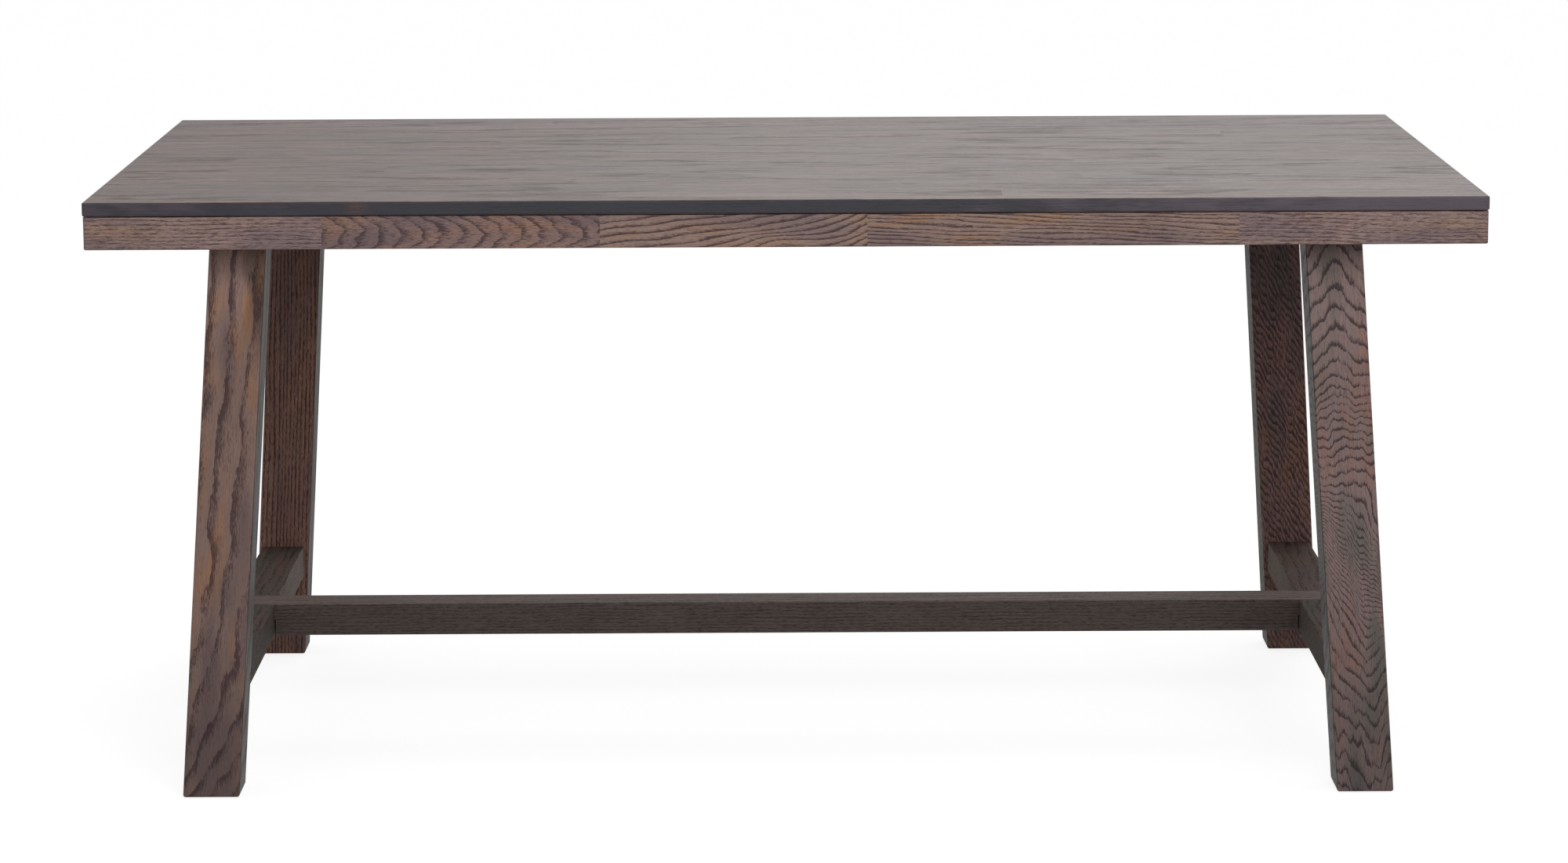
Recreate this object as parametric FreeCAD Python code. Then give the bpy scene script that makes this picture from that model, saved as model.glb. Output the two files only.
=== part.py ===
import FreeCAD
import Part
import math
import os

# Trestle dining table in oak, in millimetres. +Z is up, +X runs along the table and the front faces -Y.
# The origin lies on the floor under the middle of the top.
# The board is glued from staves and lies on a mitred apron frame, with a shadow line between the two.
# Two trestles of splayed legs carry it: each has a bearer on top and a foot rail below.
# One long stretcher is half-lapped into both foot rails.

# Overall size
table_length = 1700.0
table_width = 950.0
table_height = 750.0

# Board of glued staves
board_thickness = 17.0
board_corner_radius = 4.0
board_arris = 2.0
stave_count = 10

# Apron frame under the rim of the board
apron_height = 41.0
apron_thickness = 22.0
apron_setback = 1.0
apron_corner_radius = 3.0
apron_arris = 2.0
shadow_gap = 1.2
shadow_depth = 8.0
groove_drop = 10.0
groove_height = 8.0
groove_depth = 9.0

# Finger joints along each apron, as shares of the half length of that side
front_joint_shares = (-0.661, -0.265, 0.116, 0.645)
back_joint_shares = (-0.56, -0.17, 0.22, 0.6)
left_joint_shares = (-0.36, 0.29)
right_joint_shares = (-0.22, 0.41)
finger_length = 10.0
finger_count = 5

# Loose splines across the mitres
spline_width = 16.0
spline_thickness = 3.0
spline_end_cover = 5.0
spline_clearance = 0.05

# Triangular blocks inside the apron corners
corner_block_side = 58.0
corner_block_nose = 8.0
corner_block_drop = 4.0

# Legs
leg_width = 70.0
leg_depth = 70.0
leg_arris = 3.0
leg_setback_x = 143.0
leg_setback_y = 84.0
splay_x_deg = 3.75
splay_y_deg = 4.0
leg_tenon_side = 36.0
leg_tenon_height = 28.0
tenon_clearance = 0.1
mortise_end_gap = 0.5

# Bearers that carry the board on the legs
bearer_width = 70.0
bearer_end_gap = 1.0
bearer_arris = 1.5

# Foot rails and the stretcher lapped into them
rail_width = 58.0
rail_height = 42.0
rail_floor_height = 116.5
rail_arris = 1.5
rail_tenon_thickness = 24.0
rail_tenon_height = 26.0
rail_tenon_length = 40.0
lap_shoulder_gap = 1.5

# Battens that keep the board flat
batten_width = 60.0
batten_height = 28.0
batten_spacing = 460.0
batten_arris = 1.5
tongue_length = 8.0
tongue_clearance = 0.2

# Buttons that hold the board down on the aprons
button_length = 40.0
button_depth = 34.0
button_height = 20.0
button_wall_gap = 0.3
long_button_spacing = 430.0
end_button_spacing = 300.0

# Bolts and screwed-in inserts
bolt_radius = 3.0
bolt_head_radius = 5.25
bolt_head_height = 3.3
bolt_socket_radius = 2.0
bolt_socket_depth = 2.0
bolt_hole_radius = 3.5
bolt_fit = 0.05
washer_radius = 8.0
washer_bore_radius = 3.25
washer_thickness = 1.6
counterbore_radius = 9.0
insert_radius = 4.5
bearer_counterbore = 12.0
bearer_bolt_length = 40.0
bearer_insert_length = 12.0
bearer_bolt_end = 31.0
bearer_bolt_count = 4
lap_counterbore = 5.5
lap_bolt_length = 30.0
lap_insert_length = 15.0
lap_bolt_spacing = 28.0

# Wood screws
screw_radius = 2.0
screw_head_radius = 4.0
screw_head_height = 2.4
screw_hole_radius = 2.3
screw_fit = 0.05
screw_board_depth = 10.0
batten_screw_end = 47.0
batten_screw_count = 6

# Plastic glides nailed under the legs
glide_radius = 14.0
glide_thickness = 3.5
glide_recess = 2.0
glide_recess_clearance = 0.3
glide_edge = 0.8
nail_radius = 1.5
nail_length = 14.0

# Reach of cutting tools past a face
overrun = 5.0

# Levels and places that follow from the sizes above
board_bottom = table_height - board_thickness
frame_bottom = board_bottom - apron_height
groove_top = board_bottom - groove_drop
groove_bottom = groove_top - groove_height
apron_outer_x = table_length / 2 - apron_setback
apron_outer_y = table_width / 2 - apron_setback
apron_inner_x = apron_outer_x - apron_thickness
apron_inner_y = apron_outer_y - apron_thickness
leg_top_x = table_length / 2 - leg_setback_x - leg_width / 2
leg_top_y = table_width / 2 - leg_setback_y - leg_depth / 2
leg_foot = glide_thickness - glide_recess
rail_top = rail_floor_height + rail_height
rail_middle = rail_floor_height + rail_height / 2
tongue_top = groove_top - tongue_clearance
tongue_bottom = groove_bottom + tongue_clearance
lean_x = math.tan(math.radians(splay_x_deg))
lean_y = math.tan(math.radians(splay_y_deg))

ENDS = (("left", -1), ("right", 1))
SIDES = (("front", -1), ("back", 1))


def box(x_low, x_high, y_low, y_high, z_low, z_high):
    """A block between two opposite corners."""
    corner = FreeCAD.Vector(x_low, y_low, z_low)
    return Part.makeBox(x_high - x_low, y_high - y_low, z_high - z_low, corner)


def rod(x, y, z_low, z_high, radius):
    """An upright round bar."""
    return Part.makeCylinder(radius, z_high - z_low, FreeCAD.Vector(x, y, z_low))


def prism(outline, z_low, z_high):
    """An upright solid over a closed outline of (x, y) points."""
    points = [FreeCAD.Vector(x, y, z_low) for x, y in outline]
    face = Part.Face(Part.makePolygon(points + points[:1]))
    return face.extrude(FreeCAD.Vector(0, 0, z_high - z_low))


def edges_along(shape, direction, keep=lambda edge: True):
    """The straight edges of a shape that run along a direction and that keep accepts."""
    found = []
    for edge in shape.Edges:
        run = edge.Vertexes[-1].Point - edge.Vertexes[0].Point
        if run.Length and abs(run.normalize().dot(direction)) > math.cos(math.radians(1)) and keep(edge):
            found.append(edge)
    return found


def save(name, solids):
    """Writes one node, which may hold several separate solids."""
    group = solids if isinstance(solids, list) else [solids]
    shape = group[0] if len(group) == 1 else Part.makeCompound(group)
    shape.exportStep(os.path.join("parts", name + ".step"))


def leg_middle(end, side, z):
    """The middle of a leg's level section at height z."""
    drop = frame_bottom - z
    return end * (leg_top_x + drop * lean_x), side * (leg_top_y + drop * lean_y)


def leg_inner_y(z):
    """How far a leg's inner face stands from the middle of the table at height z."""
    return leg_middle(1, 1, z)[1] - leg_depth / 2


# Foot rails stand centred under the legs at their own height
rail_x = leg_middle(1, 1, rail_middle)[0]


def spread(count, spacing):
    """Evenly spaced places about zero."""
    return [(i - (count - 1) / 2) * spacing for i in range(count)]


def spread_between(count, reach):
    """Evenly spaced places from -reach to reach."""
    return spread(count, 2 * reach / (count - 1))


def bearer_bolt_places():
    reach = apron_inner_y - bearer_end_gap - bearer_bolt_end
    return [(end * leg_top_x, y) for _, end in ENDS for y in spread_between(bearer_bolt_count, reach)]


def lap_bolt_places():
    return [(end * rail_x, y) for _, end in ENDS for y in spread(2, lap_bolt_spacing)]


def batten_screw_places():
    reach = apron_inner_y - batten_screw_end
    return [(x, y) for x in spread(2, batten_spacing) for y in spread_between(batten_screw_count, reach)]


def corner_places():
    """The inner apron corners, with the signs of their quarter."""
    return [(end * apron_inner_x, side * apron_inner_y, end, side) for _, end in ENDS for _, side in SIDES]


def corner_screw_place(x, y, end, side):
    """A third of the block's side in from both aprons."""
    return x - end * corner_block_side / 3, y - side * corner_block_side / 3


def button_frames():
    """Each button as the middle of its back edge and the way its tongue points."""
    reach_y = apron_inner_y - button_wall_gap
    reach_x = apron_inner_x - button_wall_gap
    long_sides = [(x, side * reach_y, 0, side) for _, side in SIDES for x in spread(3, long_button_spacing)]
    short_sides = [(end * reach_x, y, end, 0) for _, end in ENDS for y in spread(2, end_button_spacing)]
    return long_sides + short_sides


def button_screw_place(x, y, to_x, to_y):
    return x - to_x * button_depth / 2, y - to_y * button_depth / 2


def screw_places():
    """Every wood screw that ends in the board."""
    corners = [corner_screw_place(*place) for place in corner_places()]
    buttons = [button_screw_place(*frame) for frame in button_frames()]
    return corners + buttons + batten_screw_places()


def whole_board():
    """The board in one piece, with its corners rounded and its arrises eased."""
    half_x, half_y = table_length / 2, table_width / 2
    board = box(-half_x, half_x, -half_y, half_y, board_bottom, table_height)
    board = board.makeFillet(board_corner_radius, edges_along(board, FreeCAD.Vector(0, 0, 1)))
    rims = [face for face in board.Faces if abs(face.normalAt(0, 0).z) > math.cos(math.radians(1))]
    return board.makeFillet(board_arris, [edge for face in rims for edge in face.Edges])


def make_board():
    """Staves side by side, with blind holes for inserts and screws."""
    holes = [rod(x, y, board_bottom - overrun, board_bottom + bearer_insert_length, insert_radius)
             for x, y in bearer_bolt_places()]
    holes += [rod(x, y, board_bottom - overrun, board_bottom + screw_board_depth + screw_fit,
                  screw_radius + screw_fit) for x, y in screw_places()]
    board = whole_board().cut(Part.makeCompound(holes))
    stave_width = table_width / stave_count
    for i in range(stave_count):
        low = -table_width / 2 + i * stave_width
        stave = box(-table_length, table_length, low, low + stave_width, board_bottom - overrun,
                    table_height + overrun)
        save(f"top_stave_{i + 1}", board.common(stave).Solids)


def whole_frame():
    """The apron ring, with its shadow rebate, the groove inside it and slots for the splines."""
    outer = box(-apron_outer_x, apron_outer_x, -apron_outer_y, apron_outer_y, frame_bottom, board_bottom)
    outer = outer.makeFillet(apron_corner_radius, edges_along(outer, FreeCAD.Vector(0, 0, 1)))
    rim = [face for face in outer.Faces if face.normalAt(0, 0).z < -math.cos(math.radians(1))]
    outer = outer.makeFillet(apron_arris, rim[0].Edges)
    ring = outer.cut(box(-apron_inner_x, apron_inner_x, -apron_inner_y, apron_inner_y,
                         frame_bottom - overrun, board_bottom + overrun))
    ledge_x, ledge_y = apron_outer_x - shadow_depth, apron_outer_y - shadow_depth
    ledge_z = board_bottom - shadow_gap
    rebate = box(-table_length, table_length, -table_width, table_width, ledge_z, board_bottom + overrun)
    rebate = rebate.cut(box(-ledge_x, ledge_x, -ledge_y, ledge_y, ledge_z - overrun, board_bottom + overrun))
    groove_x, groove_y = apron_inner_x + groove_depth, apron_inner_y + groove_depth
    groove = box(-groove_x, groove_x, -groove_y, groove_y, groove_bottom, groove_top)
    ring = ring.cut(rebate).cut(groove)
    return ring.cut(Part.makeCompound([spline(*place, spline_clearance) for place in corner_places()]))


def spline(x, y, end, side, ease=0.0):
    """A loose spline across one mitre; ease widens it to its slot."""
    half_width, half_thickness = spline_width / 2 + ease, spline_thickness / 2 + ease
    low = frame_bottom + spline_end_cover - ease
    tongue = box(-half_width, half_width, -half_thickness, half_thickness, low,
                 groove_bottom - spline_end_cover + ease)
    tongue.rotate(FreeCAD.Vector(0, 0, 0), FreeCAD.Vector(0, 0, 1), -end * side * 45)
    tongue.translate(FreeCAD.Vector(x + end * apron_thickness / 2, y + side * apron_thickness / 2, 0))
    return tongue


def finger_line(place, thickness):
    """The zigzag of a finger joint, as (along, across) points from the outer face inwards."""
    steps = 2 * finger_count
    return [(place + finger_length * (k % 2), thickness * k / steps) for k in range(steps + 1)]


def apron_outlines(half_length, shares):
    """Outlines of one apron's pieces as (along, across) points, across being 0 at the outer face."""
    mitre_low = [(-half_length, 0), (-half_length + apron_thickness, apron_thickness)]
    mitre_high = [(half_length, 0), (half_length - apron_thickness, apron_thickness)]
    joints = [finger_line(share * half_length, apron_thickness) for share in shares]
    lines = [mitre_low] + joints + [mitre_high]
    return [first + second[::-1] for first, second in zip(lines, lines[1:])]


def make_aprons():
    ring = whole_frame()
    sides = (
        ("front", apron_outer_x, front_joint_shares, lambda a, c: (a, -apron_outer_y + c)),
        ("back", apron_outer_x, back_joint_shares, lambda a, c: (a, apron_outer_y - c)),
        ("left", apron_outer_y, left_joint_shares, lambda a, c: (-apron_outer_x + c, a)),
        ("right", apron_outer_y, right_joint_shares, lambda a, c: (apron_outer_x - c, a)),
    )
    for side, half_length, shares, place in sides:
        for i, outline in enumerate(apron_outlines(half_length, shares)):
            cell = prism([place(a, c) for a, c in outline], frame_bottom - overrun, board_bottom + overrun)
            save(f"{side}_apron_{i + 1}", ring.common(cell).Solids)
    save("apron_splines", [spline(*place) for place in corner_places()])


def make_corner_blocks():
    names = [f"corner_block_{side}_{end}" for end, _ in ENDS for side, _ in SIDES]
    low = frame_bottom + corner_block_drop
    for name, (x, y, end, side) in zip(names, corner_places()):
        nose, long = corner_block_nose, corner_block_side
        outline = [(x, y), (x - end * long, y), (x - end * long, y - side * nose),
                   (x - end * nose, y - side * long), (x, y - side * long)]
        block = prism(outline, low, board_bottom)
        hole_x, hole_y = corner_screw_place(x, y, end, side)
        block = block.cut(rod(hole_x, hole_y, low - overrun, board_bottom + overrun, screw_hole_radius))
        save(name, block)
    places = [corner_screw_place(*place) for place in corner_places()]
    save("corner_block_screws", [wood_screw(x, y, low) for x, y in places])


def wood_screw(x, y, seat):
    """A pan-head screw from its seat up into the board."""
    shank = rod(x, y, seat, board_bottom + screw_board_depth, screw_radius)
    return shank.fuse(rod(x, y, seat - screw_head_height, seat, screw_head_radius))


def make_battens():
    """Cross battens whose end tongues sit in the apron groove."""
    low = board_bottom - batten_height
    half_y = apron_inner_y
    for (name, _), x in zip(ENDS, spread(2, batten_spacing)):
        batten = box(x - batten_width / 2, x + batten_width / 2, -half_y, half_y, low, board_bottom)
        lower = edges_along(batten, FreeCAD.Vector(0, 1, 0), lambda edge: edge.CenterOfMass.z < low + overrun)
        batten = batten.makeFillet(batten_arris, lower)
        tongue = box(x - batten_width / 2, x + batten_width / 2, -half_y - tongue_length,
                     half_y + tongue_length, tongue_bottom, tongue_top)
        batten = batten.fuse(tongue).removeSplitter()
        holes = [rod(hx, hy, low - overrun, board_bottom + overrun, screw_hole_radius)
                 for hx, hy in batten_screw_places() if abs(hx - x) < batten_width / 2]
        save(f"batten_{name}", batten.cut(Part.makeCompound(holes)).Solids)
    save("batten_screws", [wood_screw(x, y, low) for x, y in batten_screw_places()])


def make_buttons():
    """Wooden buttons: a block screwed to the board, with a tongue in the apron groove."""
    low = board_bottom - button_height
    buttons = []
    for x, y, to_x, to_y in button_frames():
        block = box(-button_length / 2, button_length / 2, -button_depth, 0, low, board_bottom)
        tongue = box(-button_length / 2, button_length / 2, 0, tongue_length, tongue_bottom, tongue_top)
        button = block.fuse(tongue).removeSplitter()
        button = button.cut(rod(0, -button_depth / 2, low - overrun, board_bottom + overrun, screw_hole_radius))
        turn = math.degrees(math.atan2(to_y, to_x)) - 90
        button.rotate(FreeCAD.Vector(0, 0, 0), FreeCAD.Vector(0, 0, 1), turn)
        button.translate(FreeCAD.Vector(x, y, 0))
        buttons.append(button)
    save("top_buttons", buttons)
    places = [button_screw_place(*frame) for frame in button_frames()]
    save("button_screws", [wood_screw(x, y, low) for x, y in places])


def socket_bolt(x, y, seat, length):
    """A button-head bolt from below: the head hangs under its seat and the shank goes up."""
    bolt = rod(x, y, seat, seat + length, bolt_radius)
    bolt = bolt.fuse(rod(x, y, seat - bolt_head_height, seat, bolt_head_radius))
    head_bottom = seat - bolt_head_height
    turns = [math.radians(60 * k) for k in range(6)]
    hexagon = [(x + bolt_socket_radius * math.cos(a), y + bolt_socket_radius * math.sin(a)) for a in turns]
    return bolt.cut(prism(hexagon, head_bottom - overrun, head_bottom + bolt_socket_depth))


def washer(x, y, top):
    low = top - washer_thickness
    return rod(x, y, low, top, washer_radius).cut(rod(x, y, low - overrun, top + overrun, washer_bore_radius))


def insert(x, y, low, length):
    bore = rod(x, y, low - overrun, low + length + overrun, bolt_radius + bolt_fit)
    return rod(x, y, low, low + length, insert_radius).cut(bore)


def bolt_hole(x, y, low, high, counterbore):
    """A clearance hole with a counterbore for head and washer at its lower end."""
    hole = rod(x, y, low - overrun, high + overrun, bolt_hole_radius)
    return hole.fuse(rod(x, y, low - overrun, low + counterbore, counterbore_radius))


def make_bearers():
    """The trestles' upper rails, mortised for the legs and bolted up into the board."""
    half_y = apron_inner_y - bearer_end_gap
    bolts = bearer_bolt_places()
    side = leg_tenon_side / 2 + tenon_clearance
    mortise_top = frame_bottom + leg_tenon_height + mortise_end_gap
    for name, end in ENDS:
        x = end * leg_top_x
        bearer = box(x - bearer_width / 2, x + bearer_width / 2, -half_y, half_y, frame_bottom, board_bottom)
        lower = edges_along(bearer, FreeCAD.Vector(0, 1, 0),
                            lambda edge: edge.CenterOfMass.z < frame_bottom + overrun)
        bearer = bearer.makeFillet(bearer_arris, lower)
        mortises = [box(x - side, x + side, y - side, y + side, frame_bottom - overrun, mortise_top)
                    for y in (-leg_top_y, leg_top_y)]
        holes = [bolt_hole(bx, by, frame_bottom, board_bottom, bearer_counterbore)
                 for bx, by in bolts if abs(bx - x) < bearer_width / 2]
        save(f"bearer_{name}", bearer.cut(Part.makeCompound(mortises + holes)).Solids)
    seat = frame_bottom + bearer_counterbore
    save("bearer_washers", [washer(x, y, seat) for x, y in bolts])
    save("bearer_bolts", [socket_bolt(x, y, seat - washer_thickness, bearer_bolt_length) for x, y in bolts])
    save("bearer_inserts", [insert(x, y, board_bottom, bearer_insert_length) for x, y in bolts])


def rail_tenon(end, side, ease=0.0):
    """The tenon of a foot rail in one leg; ease widens it to its mortise."""
    x = end * rail_x
    half_thickness = rail_tenon_thickness / 2 + ease
    half_height = rail_tenon_height / 2 + ease
    far = leg_inner_y(rail_middle) + rail_tenon_length + (mortise_end_gap if ease else 0)
    near = leg_inner_y(rail_top) - leg_depth / 2
    low_y, high_y = sorted((side * near, side * far))
    return box(x - half_thickness, x + half_thickness, low_y, high_y, rail_middle - half_height,
               rail_middle + half_height)


def make_leg(end, side):
    """A leg that leans out both ways, tenoned into its bearer and mortised for its foot rail."""
    foot_x, foot_y = leg_middle(end, side, leg_foot)
    top_x, top_y = leg_middle(end, side, frame_bottom)
    half_x, half_y = leg_width / 2, leg_depth / 2
    corners = [(foot_x - half_x, foot_y - half_y), (foot_x + half_x, foot_y - half_y),
               (foot_x + half_x, foot_y + half_y), (foot_x - half_x, foot_y + half_y)]
    points = [FreeCAD.Vector(x, y, leg_foot) for x, y in corners]
    face = Part.Face(Part.makePolygon(points + points[:1]))
    leg = face.extrude(FreeCAD.Vector(top_x - foot_x, top_y - foot_y, frame_bottom - leg_foot))
    eased = [edge for edge in leg.Edges if edge.CenterOfMass.z < frame_bottom - leg_arris]
    leg = leg.makeFillet(leg_arris, eased)
    half_tenon = leg_tenon_side / 2
    tenon = box(top_x - half_tenon, top_x + half_tenon, top_y - half_tenon, top_y + half_tenon,
                frame_bottom - leg_arris, frame_bottom + leg_tenon_height)
    leg = leg.fuse(tenon).removeSplitter()
    recess_top = leg_foot + glide_recess
    recess = rod(foot_x, foot_y, leg_foot - overrun, recess_top, glide_radius + glide_recess_clearance)
    nail = rod(foot_x, foot_y, leg_foot, recess_top + nail_length + screw_fit, nail_radius + screw_fit)
    return leg.cut(Part.makeCompound([recess.fuse(nail), rail_tenon(end, side, tenon_clearance)]))


def make_glide(end, side):
    """A round glide with its nail."""
    x, y = leg_middle(end, side, leg_foot)
    disc = rod(x, y, 0, glide_thickness, glide_radius)
    lower = [edge for edge in disc.Edges if edge.CenterOfMass.z < glide_edge and len(edge.Vertexes) == 1]
    disc = disc.makeFillet(glide_edge, lower)
    return disc.fuse(rod(x, y, glide_thickness, glide_thickness + nail_length, nail_radius))


def make_legs():
    for side_name, side in SIDES:
        for end_name, end in ENDS:
            save(f"leg_{side_name}_{end_name}", make_leg(end, side).Solids)
    save("foot_glides", [make_glide(end, side) for _, end in ENDS for _, side in SIDES])


def make_foot_rails():
    """Rails between the feet of a trestle, with ends cut to the lean of the legs and a notch for the lap."""
    half_x, half_lap = rail_width / 2, rail_width / 2
    for name, end in ENDS:
        x = end * rail_x
        low_y, high_y = leg_inner_y(rail_floor_height), leg_inner_y(rail_top)
        outline = [(-low_y, rail_floor_height), (low_y, rail_floor_height), (high_y, rail_top), (-high_y, rail_top)]
        points = [FreeCAD.Vector(x - half_x, y, z) for y, z in outline]
        rail = Part.Face(Part.makePolygon(points + points[:1])).extrude(FreeCAD.Vector(rail_width, 0, 0))
        rail = rail.makeFillet(rail_arris, edges_along(rail, FreeCAD.Vector(0, 1, 0)))
        rail = rail.fuse([rail_tenon(end, -1), rail_tenon(end, 1)]).removeSplitter()
        notch = box(x - rail_width, x + rail_width, -half_lap, half_lap, rail_middle, rail_top + overrun)
        holes = [bolt_hole(bx, by, rail_floor_height, rail_middle, lap_counterbore)
                 for bx, by in lap_bolt_places() if abs(bx - x) < half_x]
        save(f"foot_rail_{name}", rail.cut(Part.makeCompound([notch])).cut(Part.makeCompound(holes)).Solids)


def make_stretcher():
    """The long stretcher: its upper half laps over both foot rails and is bolted from below."""
    reach = rail_x + rail_width / 2
    shoulder = rail_x - rail_width / 2 - lap_shoulder_gap
    half_y = rail_width / 2
    stretcher = box(-reach, reach, -half_y, half_y, rail_floor_height, rail_top)
    stretcher = stretcher.makeFillet(rail_arris, edges_along(stretcher, FreeCAD.Vector(1, 0, 0)))
    cuts = [box(low, high, -rail_width, rail_width, rail_floor_height - overrun, rail_middle)
            for low, high in ((-reach - overrun, -shoulder), (shoulder, reach + overrun))]
    cuts += [rod(x, y, rail_middle - overrun, rail_middle + lap_insert_length, insert_radius)
             for x, y in lap_bolt_places()]
    save("stretcher", stretcher.cut(Part.makeCompound(cuts)).Solids)
    seat = rail_floor_height + lap_counterbore
    places = lap_bolt_places()
    save("lap_washers", [washer(x, y, seat) for x, y in places])
    save("lap_bolts", [socket_bolt(x, y, seat - washer_thickness, lap_bolt_length) for x, y in places])
    save("lap_inserts", [insert(x, y, rail_middle, lap_insert_length) for x, y in places])


def main():
    os.makedirs("parts", exist_ok=True)
    make_board()
    make_aprons()
    make_corner_blocks()
    make_battens()
    make_buttons()
    make_bearers()
    make_legs()
    make_foot_rails()
    make_stretcher()


main()
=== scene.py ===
"""The looks of the oak dining table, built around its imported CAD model.

Every length is in metres, in the shared frame: +X along the table, the front towards -Y, +Z up
from the floor. Each piece of wood gets its own oak material. A material first works out where a
point lies in the wood, along, across and into the grain, then where it lies among the growth
rings, and colours the point from that.
"""

import math
import random

import bpy
from mathutils import Matrix, Vector


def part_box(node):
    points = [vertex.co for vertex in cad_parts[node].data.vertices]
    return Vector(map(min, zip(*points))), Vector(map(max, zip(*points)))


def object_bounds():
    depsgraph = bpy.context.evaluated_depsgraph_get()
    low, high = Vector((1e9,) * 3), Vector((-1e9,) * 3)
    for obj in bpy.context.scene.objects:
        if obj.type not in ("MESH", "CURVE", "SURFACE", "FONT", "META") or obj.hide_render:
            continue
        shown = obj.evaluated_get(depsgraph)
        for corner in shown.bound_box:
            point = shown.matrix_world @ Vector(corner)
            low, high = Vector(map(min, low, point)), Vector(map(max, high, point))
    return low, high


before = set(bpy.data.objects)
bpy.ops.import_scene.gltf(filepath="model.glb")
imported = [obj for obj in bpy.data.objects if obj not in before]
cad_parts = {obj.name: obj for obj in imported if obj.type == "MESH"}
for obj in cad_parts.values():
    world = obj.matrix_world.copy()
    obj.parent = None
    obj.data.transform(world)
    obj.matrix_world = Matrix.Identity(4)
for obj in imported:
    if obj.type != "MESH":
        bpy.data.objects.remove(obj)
cad_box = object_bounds()

# Camera, fitted to the table's corners, feet and rails in the photograph
IMAGE_WIDTH = 2000
FOCAL_PIXELS = 5801.8
SENSOR_WIDTH = 36.0
CAMERA_PLACE = Vector((-0.0134, -5.9270, 1.4228))
CAMERA_YAW = 0.00181
CAMERA_PITCH = -0.17372
CAMERA_ROLL = -0.00458
CAMERA_REACH = 100.0

# Facts of the construction that the grain follows. The middle of each leg meets its bearer at
# LEG_TOP_X and LEG_TOP_Y from the table's middle, and leans out both ways on its way down.
LEG_LEAN_X = math.tan(math.radians(3.75))
LEG_LEAN_Y = math.tan(math.radians(4.0))
LEG_TOP_X = (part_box("bearer_right")[0].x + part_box("bearer_right")[1].x) / 2
LEG_TOP_Y = 0.356
leg_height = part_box("bearer_left")[0].z
table_low, table_high = cad_box
apron_low, apron_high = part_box("front_apron_1")
apron_middle = (apron_low.z + apron_high.z) / 2


# Nodes

# How far a surface faces along an axis, where each of these looks sets in and where it is full
ACROSS_EDGES = (0.9, 0.55)
INWARD_EDGES = (-0.55, -0.9)
ARRIS_EDGES = (0.985, 0.92)


class Num:
    """A number that varies over a surface. Arithmetic on it adds math nodes to its tree."""

    def __init__(self, nodes, socket):
        self.nodes = nodes
        self.socket = socket

    def __add__(self, other):
        return self.nodes.math("ADD", self, other)

    def __radd__(self, other):
        return self.nodes.math("ADD", other, self)

    def __sub__(self, other):
        return self.nodes.math("SUBTRACT", self, other)

    def __rsub__(self, other):
        return self.nodes.math("SUBTRACT", other, self)

    def __mul__(self, other):
        return self.nodes.math("MULTIPLY", self, other)

    def __rmul__(self, other):
        return self.nodes.math("MULTIPLY", other, self)

    def __truediv__(self, other):
        return self.nodes.math("DIVIDE", self, other)

    def __neg__(self):
        return self.nodes.math("MULTIPLY", self, -1.0)

    def __abs__(self):
        return self.nodes.math("ABSOLUTE", self)


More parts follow.
